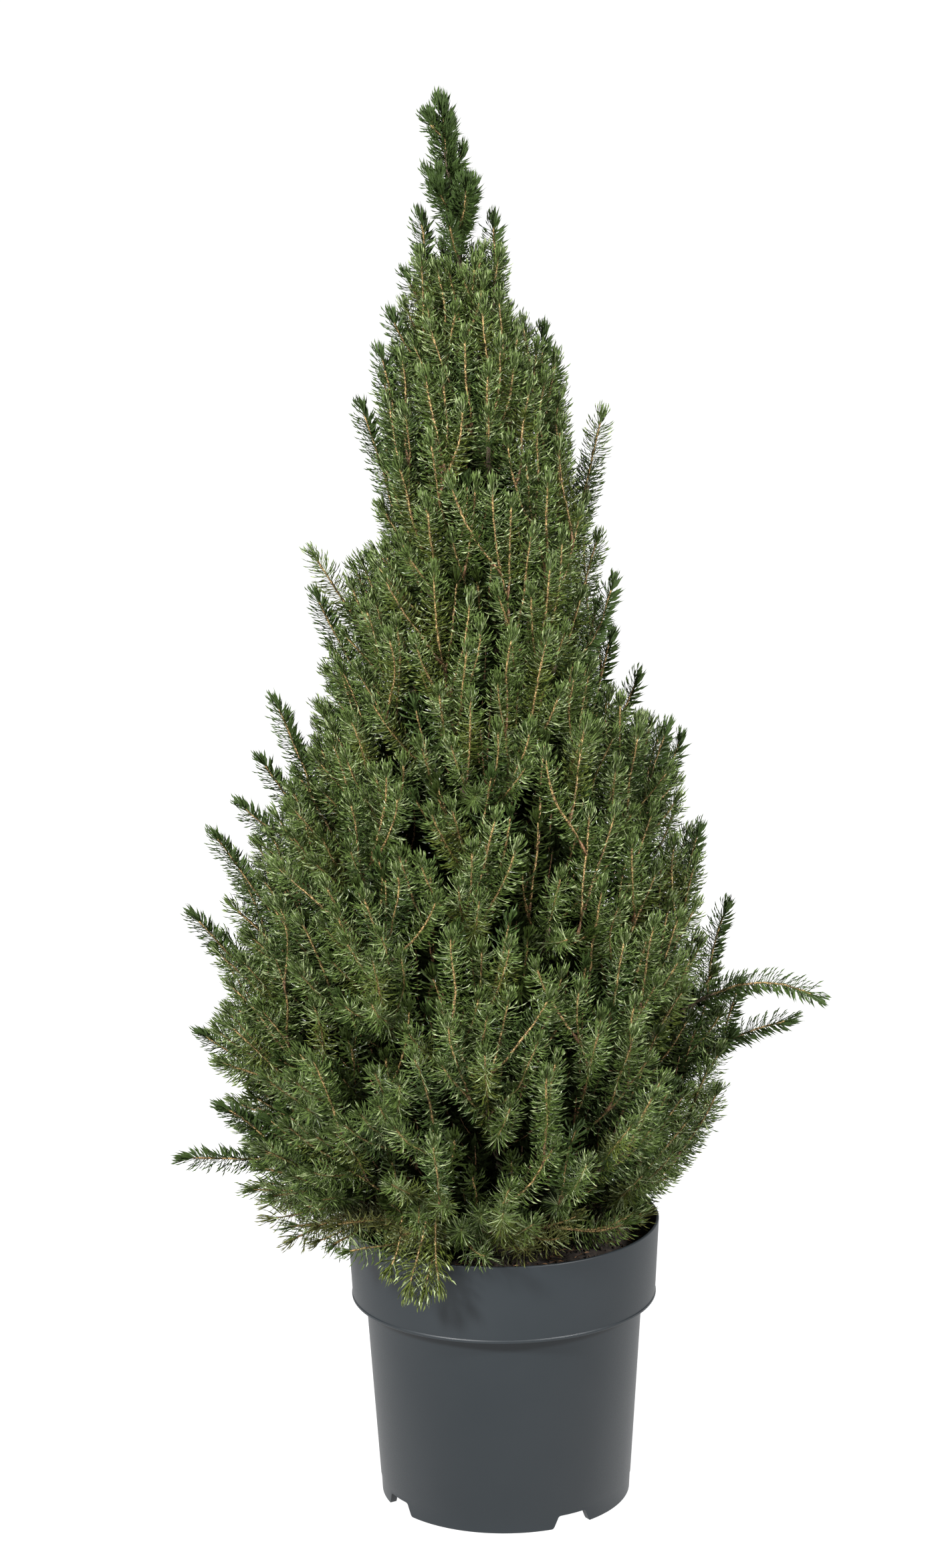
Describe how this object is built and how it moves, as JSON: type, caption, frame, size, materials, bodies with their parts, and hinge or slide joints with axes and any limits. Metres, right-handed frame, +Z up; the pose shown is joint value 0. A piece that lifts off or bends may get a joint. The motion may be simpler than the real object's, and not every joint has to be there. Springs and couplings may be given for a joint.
{
  "type": "potted dwarf alberta spruce",
  "caption": "Dense, cone-shaped dwarf conifer shrub with upright needled shoots, growing in a round nursery pot.",
  "frame": {"origin": "on the ground under the middle of the pot, which is also the middle of the plant's bounding box", "axes": "+Z up along the plant's height, -Y towards the front, +X towards the side of the two long low shoots"},
  "size_m": [0.397, 0.3347, 0.85],
  "materials": {
    "pot_plastic": "satin moulded plastic",
    "compost": "dark crumbly compost",
    "bark": "rough scaly bark",
    "needles": "satin needles"
  },
  "bodies": {
    "root": {"bough_01": "bark", "bough_02": "bark", "bough_03": "bark", "bough_04": "bark", "bough_05": "bark", "bough_06": "bark", "bough_07": "bark", "bough_08": "bark", "bough_09": "bark", "bough_10": "bark", "bough_11": "bark", "bough_12": "bark", "bough_left": "bark", "bough_right": "bark", "bough_right_low": "bark", "bough_rim": "bark", "foliage_01": "needles", "foliage_02": "needles", "foliage_03": "needles", "foliage_04": "needles", "foliage_05": "needles", "foliage_06": "needles", "foliage_07": "needles", "foliage_08": "needles", "foliage_09": "needles", "foliage_10": "needles", "foliage_11": "needles", "foliage_12": "needles", "foliage_13": "needles", "foliage_14": "needles", "foliage_15": "needles", "foliage_16": "needles", "foliage_17": "needles", "foliage_18": "needles", "foliage_19": "needles", "foliage_20": "needles", "foliage_21": "needles", "foliage_22": "needles", "foliage_23": "needles", "foliage_24": "needles", "foliage_25": "needles", "foliage_26": "needles", "foliage_27": "needles", "foliage_28": "needles", "foliage_29": "needles", "foliage_30": "needles", "foliage_31": "needles", "foliage_32": "needles", "foliage_33": "needles", "foliage_34": "needles", "foliage_leader": "needles", "foliage_left": "needles", "foliage_right": "needles", "foliage_right_low": "needles", "foliage_rim": "needles", "foliage_shoulder_left": "needles", "foliage_shoulder_right": "needles", "pot": "pot_plastic", "soil": "compost", "trunk": "bark"}
  },
  "joints": []
}
